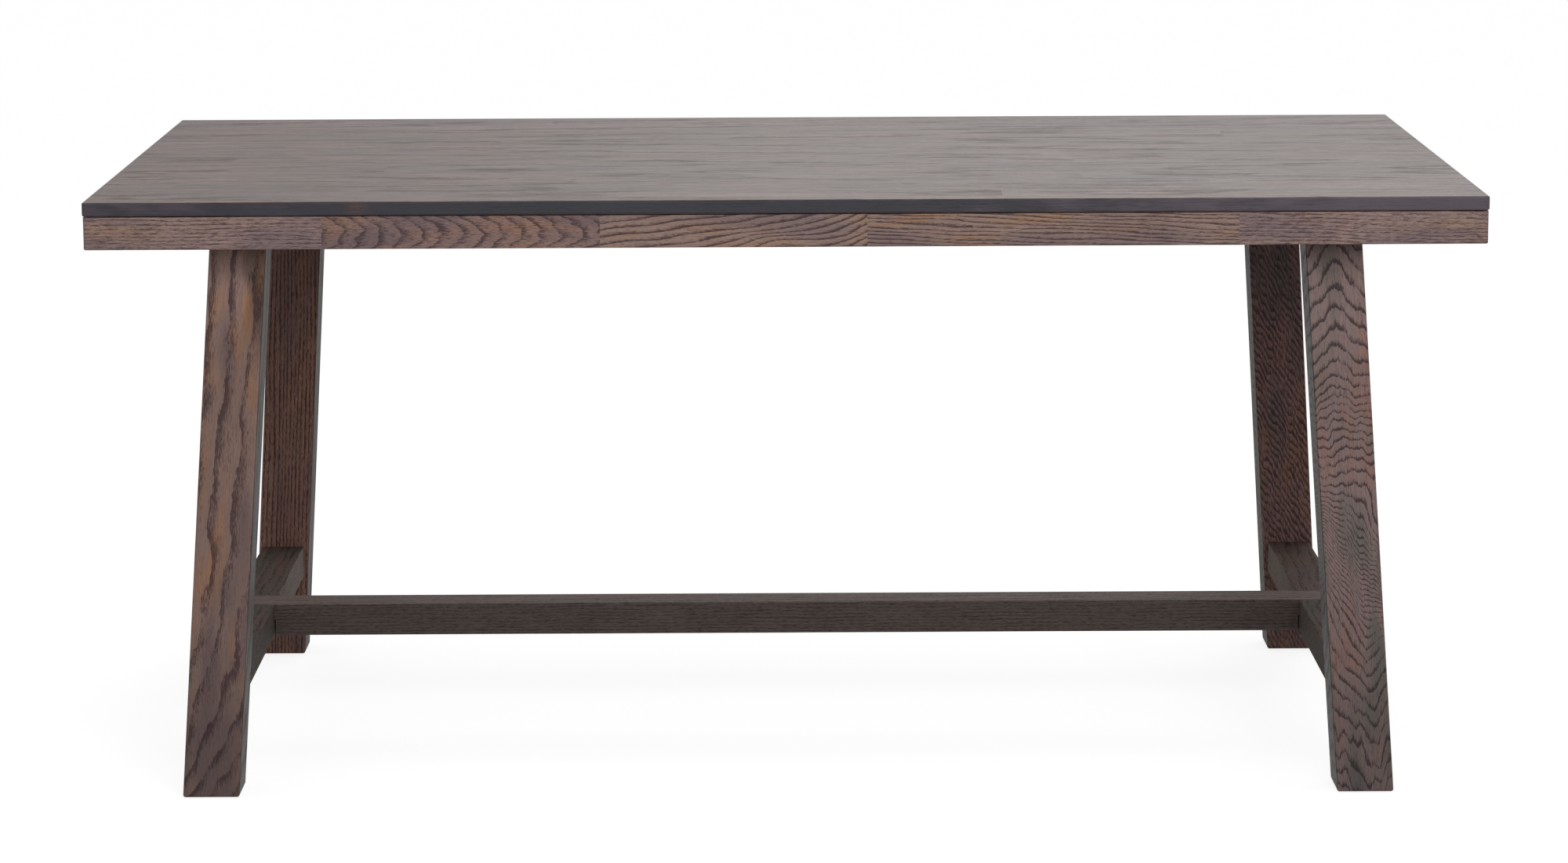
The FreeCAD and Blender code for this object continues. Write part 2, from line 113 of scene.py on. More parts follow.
class Nodes:
    """Short calls that build the node tree of a material or a world."""

    def __init__(self, owner):
        self.owner = owner
        owner.use_nodes = True
        self.tree = owner.node_tree
        self.tree.nodes.clear()

    def add(self, kind, **settings):
        node = self.tree.nodes.new(kind)
        for key, value in settings.items():
            setattr(node, key, value)
        return node

    def feed(self, socket, value):
        if isinstance(value, Num):
            self.tree.links.new(value.socket, socket)
        elif isinstance(value, bpy.types.NodeSocket):
            self.tree.links.new(value, socket)
        else:
            socket.default_value = value

    def math(self, operation, first, second=None):
        node = self.add("ShaderNodeMath", operation=operation)
        self.feed(node.inputs[0], first)
        if second is not None:
            self.feed(node.inputs[1], second)
        return Num(self, node.outputs[0])

    def vector(self, x, y, z):
        node = self.add("ShaderNodeCombineXYZ")
        for socket, value in zip(node.inputs, (x, y, z)):
            self.feed(socket, value)
        return node.outputs[0]

    def parts(self, vector):
        node = self.add("ShaderNodeSeparateXYZ")
        self.feed(node.inputs[0], vector)
        return [Num(self, socket) for socket in node.outputs]

    def place(self):
        """The point's place in the shared frame."""
        return self.parts(self.add("ShaderNodeTexCoord").outputs["Object"])

    def facing(self):
        """How far the surface faces along each axis, from -1 to 1."""
        return self.parts(self.add("ShaderNodeNewGeometry").outputs["Normal"])

    def noise(self, x, y, z, detail=2.0, roughness=0.5):
        """Smooth noise from about 0 to 1; the numbers fed in set its scale along each way."""
        node = self.add("ShaderNodeTexNoise")
        self.feed(node.inputs["Vector"], self.vector(x, y, z))
        node.inputs["Scale"].default_value = 1.0
        node.inputs["Detail"].default_value = detail
        node.inputs["Roughness"].default_value = roughness
        return Num(self, node.outputs["Fac"])

    def step(self, value, low, high, to_low=0.0, to_high=1.0):
        """A smooth step from to_low at low to to_high at high."""
        node = self.add("ShaderNodeMapRange", interpolation_type="SMOOTHSTEP")
        for key, number in (("Value", value), ("From Min", low), ("From Max", high),
                            ("To Min", to_low), ("To Max", to_high)):
            self.feed(node.inputs[key], number)
        return Num(self, node.outputs[0])

    def bell(self, value, middle, reach):
        """One at middle, and falling smoothly away from it to nearly zero at twice reach."""
        off = (value - middle) / reach
        return self.math("EXPONENT", off * -off)

    def mix(self, share, first, second, blend="MIX"):
        """A mix of two colours; a plain number stands for a grey."""
        node = self.add("ShaderNodeMix", data_type="RGBA", blend_type=blend)
        self.feed(node.inputs["Factor"], share)
        for key, colour in (("A", first), ("B", second)):
            socket = [s for s in node.inputs if s.name == key and s.type == "RGBA"][0]
            self.feed(socket, grey(colour) if isinstance(colour, float) else colour)
        return [s for s in node.outputs if s.type == "RGBA"][0]

    def times(self, colour, factor):
        """A colour multiplied by another one or by a number."""
        return self.mix(1.0, colour, factor, "MULTIPLY")

    def vary(self, colour, noise, edges, amount):
        """A colour made darker by amount where noise is low, and lighter by it where it is high."""
        return self.times(colour, self.mix(self.step(noise, *edges), 1.0 - amount, 1.0 + amount))

    def looks_across(self):
        """One where the surface looks sideways, and zero where it looks up or down."""
        return self.step(abs(self.facing()[2]), *ACROSS_EDGES)

    def looks_inward(self):
        """One where the surface looks along the table to its middle, and zero elsewhere."""
        outward = self.facing()[0] * self.math("SIGN", self.place()[0])
        return self.step(outward, *INWARD_EDGES)

    def arris(self):
        """One on the rounded edges, where the surface faces along no axis; zero on the flats."""
        x, y, z = (abs(way) for way in self.facing())
        most = self.math("MAXIMUM", self.math("MAXIMUM", x, y), z)
        return self.step(most, *ARRIS_EDGES)

    def bump(self, height, distance, strength=1.0):
        node = self.add("ShaderNodeBump")
        node.inputs["Strength"].default_value = strength
        node.inputs["Distance"].default_value = distance
        self.feed(node.inputs["Height"], height)
        return node.outputs[0]

    def shade(self, colour, roughness, normal, **uniform):
        """Ends the tree in one shader; uniform values go on the shader's own sockets."""
        shader = self.add("ShaderNodeBsdfPrincipled")
        self.feed(shader.inputs["Base Color"], colour)
        self.feed(shader.inputs["Roughness"], roughness)
        self.feed(shader.inputs["Normal"], normal)
        for key, value in uniform.items():
            shader.inputs[key.replace("_", " ")].default_value = value
        self.end("ShaderNodeOutputMaterial", shader)
        return self.owner

    def end(self, kind, shader):
        """Feeds a shader into the tree's output node, which is of this kind."""
        self.feed(self.add(kind).inputs["Surface"], shader.outputs[0])


def new_material(name):
    return Nodes(bpy.data.materials.new(name))


def paint(red, green, blue):
    """A display colour, each part from 0 to 255, as linear light."""
    shares = (part / 255 for part in (red, green, blue))
    light = (s / 12.92 if s <= 0.04045 else ((s + 0.055) / 1.055) ** 2.4 for s in shares)
    return (*light, 1.0)


def grey(value):
    return (value, value, value, 1.0)


def scaled(colour, factor):
    return (*(part * factor for part in colour[:3]), 1.0)


# Oak


class Layer:
    """A layer of noise in the wood.

    length and width are those of its marks, along and across the grain, and offset sets it apart
    from the other layers.
    """

    def __init__(self, length, width, offset, detail=2.0, roughness=0.5):
        self.length, self.width, self.offset = length, width, offset
        self.detail, self.roughness = detail, roughness


DASH_LENGTH = 0.0075
DASH_WIDTH = 0.0008
DASHES = Layer(DASH_LENGTH, DASH_WIDTH, 23.0, 3.0, 0.7)
LONG_DASHES = Layer(DASH_LENGTH * 4.0, DASH_WIDTH * 2.6, 29.0, 2.0, 0.6)
FRINGE = Layer(DASH_LENGTH, DASH_WIDTH * 1.6, 11.0)
UNEVEN = Layer(0.05, 0.02, 61.0, 1.0)
FIBRE = Layer(0.030, 0.0009, 37.0, 3.0, 0.7)
PATCH = Layer(0.10, 0.022, 41.0)
CLOUD = Layer(0.16, 0.040, 53.0, 1.0)
LONG_STREAKS = Layer(0.30, 0.016, 91.0, 3.0, 0.7)
SHORT_STREAKS = Layer(0.13, 0.010, 95.0, 3.0, 0.8)
BROAD = Layer(0.22, 0.09, 99.0)
MOTTLE = Layer(0.08, 0.03, 71.0, 3.0, 0.6)
WEAR = Layer(0.03, 0.01, 83.0, 3.0, 0.7)

# The middle of the values that noise gives
NOISE_MIDDLE = 0.5
# From which value of its noise to which each of these goes from none to all
PORE_EDGES = (0.47, 0.68)
WARM_EDGES = (0.44, 0.70)
COOL_EDGES = (0.45, 0.70)
FIBRE_EDGES = (0.3, 0.7)
STREAK_EDGES = (0.38, 0.62)
BROAD_EDGES = (0.35, 0.65)
MOTTLE_EDGES = (0.35, 0.65)
KNOT_EDGES = (0.40, 0.60)
WEAR_EDGES = (0.40, 0.60)

# The rest of the pores are long dashes, and the rest of the relief is fibre
DASH_SHARE = 0.8
PORE_RELIEF = 0.8
PORE_DEPTH = 0.0002
PORE_ROUGHER = 0.15
BUMP_STRENGTH = 0.6
# The share of a growth ring over which its dark band sets in
BAND_START = 0.06
BROAD_STRENGTH = 0.12
MOTTLE_STRENGTH = 0.4
WEAR_LIGHTER = 1.7
KNOT_REACH = 0.012
KNOT_COLOUR = paint(72, 46, 42)


class Side:
    """Another look for the faces that where picks out.

    It has two colours, of which bias says how much of the second there is, and drift how much
    more of it per metre away from start along the axis way, 0 for x and 1 for y. grain is the
    share of the pores that shows, and knots are places along the table.
    """

    def __init__(self, where, first, second, grain=0.0, bias=0.0, drift=0.0, way=0, start=0.0,
                 knots=()):
        self.where, self.first, self.second = where, first, second
        self.grain, self.bias, self.drift, self.way, self.start = grain, bias, drift, way, start
        self.knots = knots


class Tone:
    """The colours of one stain on oak, and how strongly the grain shows in it.

    density and band say how many dark pores lie between and within the dark bands of the growth
    rings, and band_width is the share of a ring that its band takes up. jitter frays the bands,
    and with a small value of even, they show in places only. strength is how dark the pores are,
    and fibre how strong the finest lines. stretch lengthens all that lies along the wood, and
    streak is how strongly long soft streaks show. side is the other look of the faces that it
    names, and worn says how much lighter the arrises are.
    """

    def __init__(self, light, warm, cool, dark, density=0.0, band=0.25, band_width=0.4,
                 strength=0.95, fibre=0.12, jitter=0.25, even=0.6, stretch=1.0, streak=0.0,
                 rough=0.55, gloss=0.2, side=None, worn=0.5):
        self.light, self.warm, self.cool, self.dark = light, warm, cool, dark
        self.density, self.band, self.band_width = density, band, band_width
        self.strength, self.fibre, self.jitter, self.even = strength, fibre, jitter, even
        self.stretch, self.streak, self.rough, self.gloss = stretch, streak, rough, gloss
        self.side, self.worn = side, worn


def oak(name, tone, grain, seed):
    """Oak under stain and satin lacquer.

    grain(wood, x, y, z) gives how far a point lies along, across and into the wood, its ring
    number, which grows by one from each growth ring to the next, its tinge, above zero where the
    wood is warmer than usual, and its shade, by which its colour is multiplied.
    """
    wood = new_material(name)
    place = wood.place()
    along, across, deep, ring, tinge, shade = grain(wood, *place)

    def noise(layer, stretch=1.0):
        length = along / (layer.length * stretch) + seed + layer.offset
        return wood.noise(length, across / layer.width, deep / layer.width, layer.detail,
                          layer.roughness)

    fringe = (noise(FRINGE, tone.stretch) - NOISE_MIDDLE) * tone.jitter
    phase = wood.math("FRACT", ring + fringe)
    fall = wood.step(phase, 0.0, tone.band_width, 1.0, 0.0)
    early = wood.step(phase, 0.0, BAND_START) * fall * fall
    even_edges = NOISE_MIDDLE - tone.even, NOISE_MIDDLE + tone.even
    uneven = wood.step(noise(UNEVEN, tone.stretch), *even_edges, 0.0, 2.0)
    dashes = noise(DASHES, tone.stretch)
    cover = dashes * DASH_SHARE + noise(LONG_DASHES, tone.stretch) * (1.0 - DASH_SHARE)
    pore = wood.step(cover + early * tone.band * uneven + tone.density, *PORE_EDGES)

    fibre = noise(FIBRE)
    warmth = wood.step(noise(PATCH, tone.stretch) + tinge, *WARM_EDGES)
    coolness = wood.step(noise(CLOUD, tone.stretch) - tinge, *COOL_EDGES)
    body = wood.mix(warmth, tone.light, tone.warm)
    body = wood.mix(coolness, body, tone.cool)
    body = wood.vary(body, fibre, FIBRE_EDGES, tone.fibre)
    if tone.streak:
        streaks = noise(LONG_STREAKS) * 0.5 + noise(SHORT_STREAKS) * 0.5
        body = wood.vary(body, streaks, STREAK_EDGES, tone.streak)
        body = wood.vary(body, noise(BROAD), BROAD_EDGES, BROAD_STRENGTH)
    body = wood.mix(pore * tone.strength, body, tone.dark)
    body = wood.times(body, shade)

    # Side looks: painted shade and light on legs, rails and stretcher; the board edge's own colour
    side = tone.side
    if side:
        swing = noise(MOTTLE) - NOISE_MIDDLE + fibre - NOISE_MIDDLE
        mottle = NOISE_MIDDLE + swing * MOTTLE_STRENGTH
        mottle = mottle + abs(place[side.way] - side.start) * side.drift + side.bias
        plain = wood.mix(wood.step(mottle, *MOTTLE_EDGES), side.first, side.second)
        plain = wood.mix(pore * side.grain, plain, tone.dark)
        for knot_x in side.knots:
            knot = wood.bell(place[0], knot_x, KNOT_REACH) * wood.step(dashes, *KNOT_EDGES)
            plain = wood.mix(knot, plain, KNOT_COLOUR)
        body = wood.mix(side.where(wood), body, plain)

    worn = wood.arris() * wood.step(noise(WEAR), *WEAR_EDGES) * tone.worn
    body = wood.mix(worn, body, wood.times(body, WEAR_LIGHTER))
    height = 1.0 - pore * PORE_RELIEF + fibre * (1.0 - PORE_RELIEF)
    return wood.shade(body, tone.rough + pore * PORE_ROUGHER,
                      wood.bump(height, PORE_DEPTH, BUMP_STRENGTH), Specular_IOR_Level=tone.gloss)


# How each piece lies in its wood
#
# Each function here is a grain as oak() takes it, or makes one. Its spot is the point's place
# along, across and into the wood, and its spacing the distance from one ring to the next. Its
# slant is the share of how deep the point lies that goes into the ring number, so that the rings
# slant through the wood. Its order names the ways along, across and into the wood, and its wave
# is how far the rings wander. Names that end in heights or edges say from where to where a change
# takes place.

RING_SLANT = 0.35
# How much further the growth lines wander in long waves than in short ones, and how far apart the
# seeds of the two lie
LONG_WANDER = 4.0
SHORT_SEED_STEP = 3.0

# A place past the end of any piece, and how the wood beyond a joint differs from the wood before it
NO_JOINT = 9.0
NEXT_WOOD_AWAY = 5.0
NEXT_HEART_RINGS = 3.0
NEXT_TILT_START = 0.7


def in_order(order, x, y, z):
    """x, y and z in the order of their names."""
    return [{"x": x, "y": y, "z": z}[way] for way in order]


def wander(wood, spot, length, width, seed, reach):
    """Slow noise that makes growth lines wander to and fro, by reach in all."""
    along, across, deep = spot
    noise = wood.noise(along / length + seed, across / width, deep / width, detail=1.0)
    return (noise - NOISE_MIDDLE) * reach


def crowd(wood, level, height, reach, rings):
    """A rise by twice rings around a height, so that the growth lines crowd together there."""
    return wood.math("TANH", (level - height) / reach) * rings


def straight(spacing, slope=0.0, wave=0.5, seed=0.0, order="xzy", shade=1.0):
    """Nearly straight growth lines, which climb by slope along the wood."""

    def grain(wood, x, y, z):
        spot = along, across, deep = in_order(order, x, y, z)
        ring = (across - along * slope + deep * RING_SLANT) / spacing
        ring = ring + wander(wood, spot, length=0.12, width=0.018, seed=seed,
                             reach=wave * LONG_WANDER)
        return *spot, ring, 0.0, shade

    return grain


def flat_sawn(spacing, tilt, heart, joint=NO_JOINT, wave=0.5, seed=0.0, tinge=0.0, order="xyz",
              shade=1.0):
    """Rings cut at a low angle, so that long arches lie along the wood.

    heart is where the rings' centre crosses the width, tilt is how steeply the rings leave the
    surface, and joint is where one length of wood ends and the next begins, whose tinge and shade
    differ from usual the other way.
    """

    def grain(wood, x, y, z):
        spot = along, across, deep = in_order(order, x, y, z)
        second = wood.math("GREATER_THAN", along, joint)
        from_heart = across - heart + second * spacing * NEXT_HEART_RINGS
        into = along * tilt - second * tilt * NEXT_TILT_START + deep
        ring = wood.math("SQRT", from_heart * from_heart + into * into) / spacing
        ring = ring + wander(wood, spot, length=0.16, width=0.03, seed=seed,
                             reach=wave * LONG_WANDER)
        ring = ring + wander(wood, spot, length=0.03, width=0.006, seed=seed + SHORT_SEED_STEP,
                             reach=wave)
        return (along + second * NEXT_WOOD_AWAY, across, deep, ring, tinge - second * tinge * 2.0,
                shade - second * (shade - 1.0) * 2.0)

    return grain


def leg_place(end, side, x, y, z):
    """A point's place in a leg: up it, and across and into it from its middle."""
    drop = leg_height - z
    across = x - end * (LEG_TOP_X + drop * LEG_LEAN_X)
    return z, across, y - side * (LEG_TOP_Y + drop * LEG_LEAN_Y)


def leg_front_left(wood, x, y, z):
    """Broad streaks that lean out as they go down and turn steeply across the foot.

    The wood is cooler towards the foot, where painted shade also darkens it. At the top, painted
    light lifts it, and a dark streak in the wood darkens it to the right of an uneven upright
    edge.
    """
    spacing, slant, first_ring = 0.026, 0.4, 2.4423
    lean, foot_turn, foot_height = 1.08, 3.4, 0.11
    cool_heights, cool_tinge = (0.05, 0.25), -0.12
    painted_shade_heights, foot_painted_shade, middle_shade = (0.0, 0.30), 0.77, 1.05
    top_heights, painted_light_at_top, right_darker = (0.54, 0.64), 0.34, 0.66
    right_edges = (0.006, 0.018)

    spot = along, across, deep = leg_place(-1, -1, x, y, z)
    turn = foot_turn * wood.math("EXPONENT", along / -foot_height)
    ring = (across + deep * slant) / spacing + first_ring - along * lean + turn
    ring = ring + wander(wood, spot, length=0.09, width=0.03, seed=5.0, reach=1.3)
    ring = ring + wander(wood, spot, length=0.03, width=0.012, seed=6.0, reach=0.35)

    tinge = wood.step(along, *cool_heights, cool_tinge, 0.0)
    uneven = across + wander(wood, spot, length=0.07, width=0.03, seed=7.0, reach=0.03)
    right = wood.step(uneven, *right_edges)
    top = wood.step(along, *top_heights)
    # Painted shade darkens the foot and painted light lifts the top; the streak to the right is
    # wood
    shade = wood.step(along, *painted_shade_heights, foot_painted_shade, middle_shade)
    shade = shade + top * painted_light_at_top - top * right * right_darker
    return *spot, ring, tinge, shade


def leg_front_right(wood, x, y, z):
    """Contour lines: arches at the top, close level lines at mid height, valleys and a jagged foot.

    The lines crowd together around two heights, and between them lies a calm warm patch. The wood
    is cooler at mid height. Painted shade darkens it towards the foot, painted light lifts it
    above, and a painted shadow of the apron darkens it again at the very top.
    """
    spacing, slant = 0.024, 0.5
    arch_heights, arch_middle, arch_slope = (0.42, 0.58), -0.003, 0.85
    tilt_heights, tilt_end_heights, tilt_slope = (0.16, 0.26), (0.40, 0.32), 1.5
    valley_heights, valley_middle, valley_slope = (0.32, 0.20), 0.010, 1.25
    jagged_heights = (0.17, 0.06)
    calm_height, calm_reach, calm_tinge, calm_lighter = 0.39, 0.045, 0.12, 0.04
    cool_height, cool_edges, cool_tinge = 0.31, (0.03, 0.10), -0.12
    painted_shade_heights, foot_painted_shade = (0.0, 0.34), 0.69
    painted_light_heights, painted_light_at_top = (0.50, 0.60), 0.14
    apron_shadow_heights, apron_painted_shadow = (0.65, 0.685), 0.24

    spot = along, across, deep = leg_place(1, -1, x, y, z)
    arch = wood.step(along, *arch_heights) * abs(across - arch_middle) * arch_slope
    tilted = wood.step(along, *tilt_heights) * wood.step(along, *tilt_end_heights)
    valley = wood.step(along, *valley_heights) * abs(across - valley_middle) * valley_slope
    level = along + arch + tilted * across * tilt_slope - valley + deep * slant
    level = level + wander(wood, spot, length=0.10, width=0.024, seed=9.0, reach=0.036)
    level = level + wander(wood, spot, length=0.05, width=0.009, seed=10.0, reach=0.012)
    jags = wander(wood, spot, length=0.12, width=0.017, seed=12.0, reach=0.075)
    level = level + jags * wood.step(along, *jagged_heights)
    ring = level / spacing + crowd(wood, level, height=0.45, reach=0.05, rings=2.6)
    ring = ring + crowd(wood, level, height=0.27, reach=0.07, rings=7.0)

    calm = wood.bell(along, calm_height, calm_reach)
    cool = wood.step(abs(along - cool_height), *cool_edges, cool_tinge, 0.0)
    # Painted shade towards the foot, painted light above and a painted apron shadow at the very top
    shade = wood.step(along, *painted_shade_heights, foot_painted_shade, 1.0) + calm * calm_lighter
    shade = shade + wood.step(along, *painted_light_heights) * painted_light_at_top
    shade = shade - wood.step(along, *apron_shadow_heights) * apron_painted_shadow
    return *spot, ring, cool + calm * calm_tinge, shade


def leg_back_left(wood, x, y, z):
    """Fine upright lines."""
    spacing, slant, lean = 0.0055, 0.2, 0.02
    spot = along, across, deep = leg_place(-1, 1, x, y, z)
    ring = (across + along * lean + deep * slant) / spacing
    ring = ring + wander(wood, spot, length=0.25, width=0.03, seed=14.0, reach=2.4)
    return *spot, ring, 0.0, 1.0


def leg_back_right(wood, x, y, z):
    """Short streaks that slant down to the right."""
    spacing, slant, lean = 0.0075, 0.375, 0.575
    spot = along, across, deep = leg_place(1, 1, x, y, z)
    ring = (across + along * lean + deep * slant) / spacing
    ring = ring + wander(wood, spot, length=0.05, width=0.012, seed=17.0, reach=2.2)
    return *spot, ring, 0.0, 1.0


def apron_place(node, x, y, z):
    """A point's place in a piece of the front apron: along, up from its middle, and into it."""
    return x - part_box(node)[0].x, z - apron_middle, y - apron_low.y


def apron_loops(wood, x, y, z):
    """Nested loops that point along the apron."""
    spacing, slant, bend, skew = 0.024, 0.5, 55.0, 0.25
    tinge, shade = 0.03, 0.83
    spot = along, across, deep = apron_place("front_apron_2", x, y, z)
    ring = (along + across * across * bend + across * skew + deep * slant) / spacing
    ring = ring + wander(wood, spot, length=0.05, width=0.012, seed=21.0, reach=1.1)
    return *spot, ring, tinge, shade


def apron_sweep(wood, x, y, z):
    """Lines that climb to the right over a low eye, and steepen at the end."""
    spacing, slant, climb, shade = 0.0090, 0.3, 0.11, 0.83
    eye_place, eye_reach, eye_edges, eye_rings, eye_tinge = 0.215, 0.045, (0.004, -0.014), 1.7, 0.1
    steep_place, steep_reach, steep_rise = 0.33, 0.05, 0.03
    spot = along, across, deep = apron_place("front_apron_3", x, y, z)
    eye = wood.bell(along, eye_place, eye_reach) * wood.step(across, *eye_edges)
    rise = along * climb + wood.math("EXPONENT", (along - steep_place) / steep_reach) * steep_rise
    ring = (across - rise + deep * slant) / spacing - eye * eye_rings
    ring = ring + wander(wood, spot, length=0.09, width=0.02, seed=23.0, reach=1.1)
    return *spot, ring, eye * eye_tinge, shade


# Stains

EDGE_DARKEST_X = -0.2
EDGE_KNOT_X = -0.519
# Where the painted shade on the rails' inner faces is deepest
RAIL_PAINTED_SHADE_Y = -0.45

APRON = Tone(
    light=paint(142, 118, 111), warm=paint(147, 119, 101), cool=paint(124, 104, 103),
    dark=paint(62, 43, 50), density=0.01, band=0.12, band_width=0.8, fibre=0.16, rough=0.5,
    gloss=0.3)
APRON_BOLD = Tone(
    light=paint(138, 111, 104), warm=paint(150, 113, 92), cool=paint(120, 99, 98),
    dark=paint(62, 43, 50), density=0.01, band=0.15, band_width=0.8, fibre=0.16, rough=0.5,
    gloss=0.3)
APRON_LINES = Tone(
    light=paint(147, 121, 110), warm=paint(155, 120, 94), cool=paint(128, 106, 102),
    dark=paint(62, 42, 46), density=-0.035, band=0.25, band_width=0.85, fibre=0.18, jitter=0.18,
    even=0.9, rough=0.5, gloss=0.3)
# Painted shade: the legs' faces that look in along the table get darker plain colours
PAINTED_SHADE_FLANK = Side(Nodes.looks_inward, paint(66, 60, 54), paint(54, 50, 45), grain=0.5)
LEG_WARM = Tone(
    light=paint(121, 98, 90), warm=paint(135, 100, 76), cool=paint(100, 82, 80),
    dark=paint(52, 36, 40), density=-0.06, band=0.22, band_width=0.95, strength=0.84, fibre=0.14,
    side=PAINTED_SHADE_FLANK, worn=0.3)
LEG_CONTOUR = Tone(
    light=paint(120, 101, 98), warm=paint(126, 98, 91), cool=paint(92, 87, 82),
    dark=paint(42, 31, 33), density=-0.04, band=0.27, band_width=0.62, strength=0.86, fibre=0.16,
    jitter=0.3, side=PAINTED_SHADE_FLANK, worn=0.3)
LEG_RED = Tone(
    light=paint(124, 92, 82), warm=paint(133, 97, 79), cool=paint(106, 80, 75),
    dark=paint(38, 24, 25), band=0.18, band_width=0.8, side=PAINTED_SHADE_FLANK, worn=0.3)
LEG_FLECK = Tone(
    light=paint(117, 88, 84), warm=paint(121, 88, 72), cool=paint(89, 76, 72),
    dark=paint(38, 26, 28), density=0.02, band=0.18, band_width=0.95, side=PAINTED_SHADE_FLANK, worn=0.3)
# The rails' inner faces carry painted shade at the front that turns to painted light at the back
RAIL = Tone(
    light=paint(85, 72, 67), warm=paint(92, 72, 65), cool=paint(75, 68, 62),
    dark=paint(33, 25, 24), band=0.10, band_width=0.8, rough=0.7, gloss=0.08,
    side=Side(Nodes.looks_inward, paint(72, 64, 59), paint(112, 100, 92), grain=0.6, bias=-0.38,
              drift=0.8, way=1, start=RAIL_PAINTED_SHADE_Y))
# The stretcher's upright faces get darker, plainer colours than its top: painted shade
STRETCHER = Tone(
    light=paint(108, 91, 86), warm=paint(114, 92, 83), cool=paint(96, 87, 82),
    dark=paint(46, 34, 33), band=0.10, band_width=0.8, rough=0.6, gloss=0.12,
    side=Side(Nodes.looks_across, paint(86, 77, 72), paint(78, 68, 64), grain=0.85))
INNER = Tone(
    light=paint(178, 146, 108), warm=paint(184, 144, 98), cool=paint(164, 138, 108),
    dark=paint(120, 88, 58), band=0.10, band_width=0.4, strength=0.6, rough=0.6, gloss=0.3)


def top_tone(*knots):
    """The board's tone, with knots in its edge at these places along the table."""
    edge = Side(Nodes.looks_across, paint(13, 9, 22), paint(69, 59, 67), bias=-0.28, drift=0.435,
                start=EDGE_DARKEST_X, knots=knots)
    return Tone(
        light=paint(100, 82, 75), warm=paint(103, 82, 74), cool=paint(92, 79, 75),
        dark=paint(50, 37, 33), density=-0.015, band=0.11, band_width=0.50, strength=0.9,
        fibre=0.20, jitter=0.4, even=0.30, stretch=2.4, streak=0.30, rough=0.50, gloss=0.42,
        side=edge)


TOP = top_tone()
FRONT_OF_TOP = top_tone(EDGE_KNOT_X)


# Which piece gets which wood

# The lengths of wood in each stave meet at these places, as shares of half the table's length
STAVE_JOINT_SHARES = (0.31, -0.38, 0.62, -0.05, -0.60, 0.44, 0.12, -0.45, 0.70, -0.18)
STAVE_RING_SPACING = 0.0040
STAVE_WAVE = 0.3
# From where to where the values lie that chance gives a stave, or a piece of the hidden aprons
STAVE_TILT_RANGE = (0.005, 0.014)
STAVE_TINGE_RANGE = (-0.08, 0.08)
STAVE_SHADE_RANGE = (0.93, 1.07)
APRON_SPACING_RANGE = (0.0045, 0.008)
APRON_TILT_RANGE = (-0.07, 0.07)
APRON_HEART_RANGE = (-0.03, 0.03)
SEED_RANGE = (0, 50)
HIDDEN_WOOD = ("batten_left", "batten_right", "bearer_left", "bearer_right", "corner_block_back",
               "corner_block_front", "top_buttons", "apron_splines")


def dress(material, *nodes):
    for name in nodes:
        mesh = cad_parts[name].data
        mesh.materials.clear()
        mesh.materials.append(material)


def named(*starts):
    return [name for start in starts for name in sorted(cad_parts) if name.startswith(start)]


def dress_top():
    for share, name in zip(STAVE_JOINT_SHARES, named("top_stave")):
        low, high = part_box(name)
        chance = random.Random(name)
        heart = chance.uniform(low.y, high.y)
        tilt = chance.choice((-1, 1)) * chance.uniform(*STAVE_TILT_RANGE)
        grain = flat_sawn(STAVE_RING_SPACING, tilt, heart, joint=share * table_high.x,
                          wave=STAVE_WAVE, seed=chance.uniform(*SEED_RANGE),
                          tinge=chance.uniform(*STAVE_TINGE_RANGE),
                          shade=chance.uniform(*STAVE_SHADE_RANGE))
        tone = FRONT_OF_TOP if low.y == table_low.y else TOP
        dress(oak(name, tone, grain, chance.uniform(*SEED_RANGE)), name)


def dress_aprons():
    fine = straight(spacing=0.0048, wave=0.5, seed=2.0)
    waves = straight(spacing=0.0050, slope=-0.045, wave=0.6, seed=4.0, shade=0.82)
    fine_right = straight(spacing=0.0048, slope=-0.03, wave=0.6, seed=5.0, shade=0.95)
    dress(oak("apron_fine", APRON, fine, seed=1.0), "front_apron_1")
    dress(oak("apron_loops", APRON_BOLD, apron_loops, seed=2.0), "front_apron_2")
    dress(oak("apron_sweep", APRON_LINES, apron_sweep, seed=3.0), "front_apron_3")
    dress(oak("apron_waves", APRON_LINES, waves, seed=4.0), "front_apron_4")
    dress(oak("apron_fine_right", APRON, fine_right, seed=5.0), "front_apron_5")
    for name in named("back_apron", "left_apron", "right_apron"):
        chance = random.Random(name)
        heart = apron_middle + chance.uniform(*APRON_HEART_RANGE)
        order = "xzy" if name.startswith("back") else "yzx"
        spacing = chance.uniform(*APRON_SPACING_RANGE)
        tilt = chance.uniform(*APRON_TILT_RANGE)
        grain = flat_sawn(spacing, tilt, heart, seed=chance.uniform(*SEED_RANGE), order=order)
        dress(oak(name, APRON, grain, chance.uniform(*SEED_RANGE)), name)


